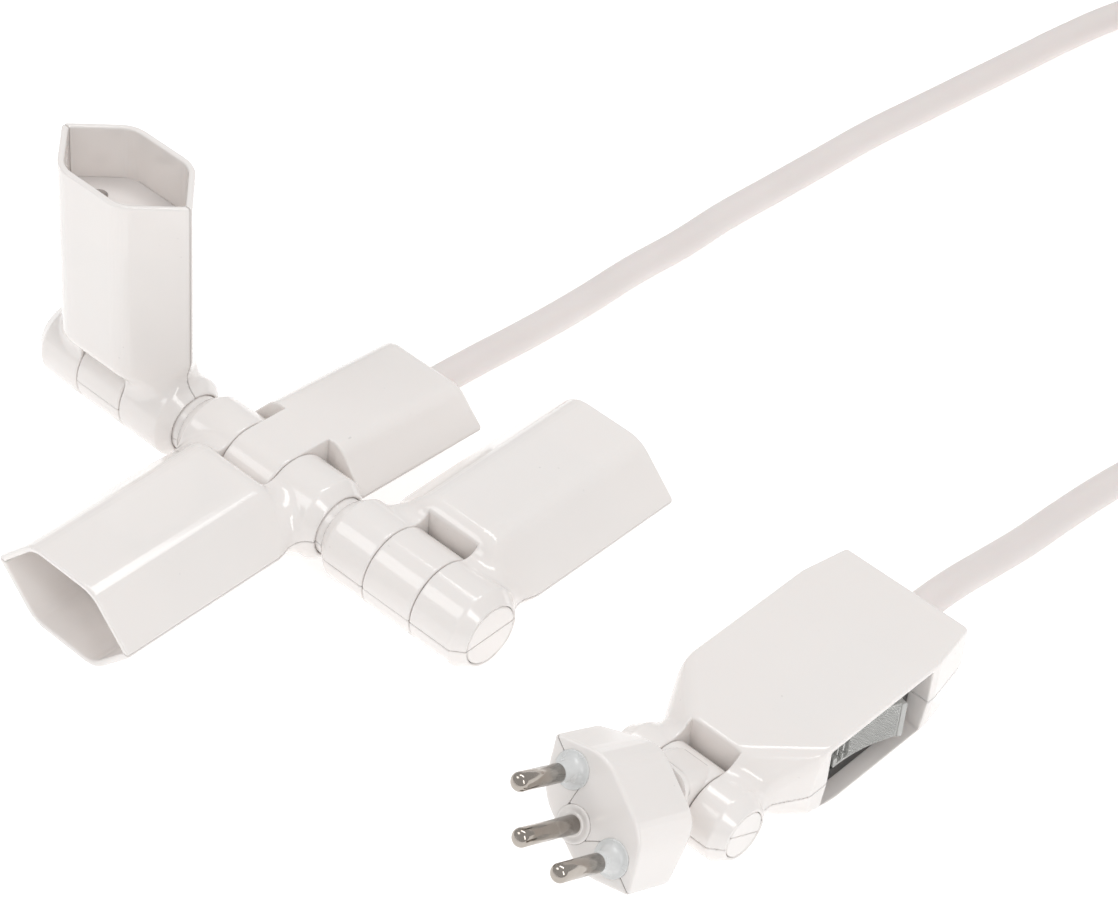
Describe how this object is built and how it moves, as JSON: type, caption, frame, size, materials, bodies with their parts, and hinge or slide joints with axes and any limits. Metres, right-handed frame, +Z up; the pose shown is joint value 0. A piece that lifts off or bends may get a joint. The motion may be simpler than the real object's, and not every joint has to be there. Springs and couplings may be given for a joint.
{
  "type": "extension cord",
  "caption": "White extension cord with hinged hexagonal sockets that fold about one axle, and a tilting, swivelling three-pin plug with a rocker switch.",
  "frame": {"origin": "on the surface the outlet unit rests on, below the middle of its hinge axle", "axes": "+X along the hinge axle, +Y towards the cord, +Z up"},
  "size_m": [0.2159, 0.3992, 0.0709],
  "materials": {
    "shell_plastic": "smooth moulded white plastic, glossy",
    "insert_plastic": "smooth moulded white plastic, satin",
    "cord_jacket": "soft white PVC, satin",
    "brass_contacts": "plain pressed brass",
    "copper": "plain copper",
    "screw_steel": "zinc-plated",
    "inner_plastic": "plain moulded plastic",
    "wire_insulation": "coloured wire insulation",
    "black_plastic": "black moulded plastic, satin",
    "clear_rocker": "clear moulded plastic with a fine ribbed face",
    "neon_glass": "small glass lamp",
    "pin_metal": "bright nickel plating",
    "pin_sleeve": "milky translucent plastic sleeve"
  },
  "bodies": {
    "root": {"rear_housing_upper": "shell_plastic", "rear_housing_lower": "shell_plastic", "outlet_grommet": "cord_jacket", "outlet_cord_clamp": "inner_plastic", "outlet_clamp_screws": "screw_steel", "axle_upper": "shell_plastic", "axle_lower": "shell_plastic", "bus_live": "copper", "bus_neutral": "copper", "bus_earth": "copper", "outlet_leads": "wire_insulation", "plug_body_upper": "shell_plastic", "plug_body_lower": "shell_plastic", "plug_grommet": "cord_jacket", "plug_cord_clamp": "inner_plastic", "plug_clamp_screws": "screw_steel", "switch_frame": "black_plastic", "switch_terminals": "brass_contacts", "neon_lamp": "neon_glass", "cord_outlet_run": "cord_jacket", "cord_coil": "cord_jacket", "cord_plug_run": "cord_jacket"},
    "front_socket": {"front_shell_upper": "shell_plastic", "front_shell_lower": "shell_plastic", "front_face_insert": "insert_plastic", "front_contact_live": "brass_contacts", "front_contact_neutral": "brass_contacts", "front_contact_earth": "brass_contacts"},
    "left_socket": {"left_shell_upper": "shell_plastic", "left_shell_lower": "shell_plastic", "left_face_insert": "insert_plastic", "left_contact_live": "brass_contacts", "left_contact_neutral": "brass_contacts", "left_contact_earth": "brass_contacts"},
    "right_socket": {"right_shell_upper": "shell_plastic", "right_shell_lower": "shell_plastic", "right_face_insert": "insert_plastic", "right_contact_live": "brass_contacts", "right_contact_neutral": "brass_contacts", "right_contact_earth": "brass_contacts"},
    "rocker_body": {"rocker": "clear_rocker"},
    "plug_knuckle": {"knuckle_upper": "shell_plastic", "knuckle_lower": "shell_plastic", "knuckle_spindle": "inner_plastic"},
    "plug_head": {"head_shell_upper": "shell_plastic", "head_shell_lower": "shell_plastic", "pin_live": "pin_metal", "pin_neutral": "pin_metal", "pin_earth": "pin_metal", "sleeve_live": "pin_sleeve", "sleeve_neutral": "pin_sleeve", "earth_collar": "shell_plastic"}
  },
  "joints": [
    {"name": "front_hinge", "type": "hinge", "parent": "root", "child": "front_socket", "pos_m": [0, 0, 0.0114], "axis": [-1, 0, 0], "range_deg": [0, 90]},
    {"name": "left_hinge", "type": "hinge", "parent": "root", "child": "left_socket", "pos_m": [-0.0455, 0, 0.0114], "axis": [-1, 0, 0], "range_deg": [-90, 90]},
    {"name": "right_hinge", "type": "hinge", "parent": "root", "child": "right_socket", "pos_m": [0.0455, 0, 0.0114], "axis": [-1, 0, 0], "range_deg": [-180, 0]},
    {"name": "plug_hinge", "type": "hinge", "parent": "root", "child": "plug_knuckle", "pos_m": [0.124, -0.003, 0.0107], "axis": [-1, 0, 0], "range_deg": [-27.7, 62.3]},
    {"name": "head_swivel", "type": "hinge", "parent": "plug_knuckle", "child": "plug_head", "pos_m": [0.124, -0.003, 0.0107], "axis": [0, 0.8854, -0.4648], "range_deg": [-123.6, 56.4]},
    {"name": "rocker_switch", "type": "hinge", "parent": "root", "child": "rocker_body", "pos_m": [0.1342, 0.0385, 0.0107], "axis": [0, 0, 1], "range_deg": [0, 24.6]}
  ]
}
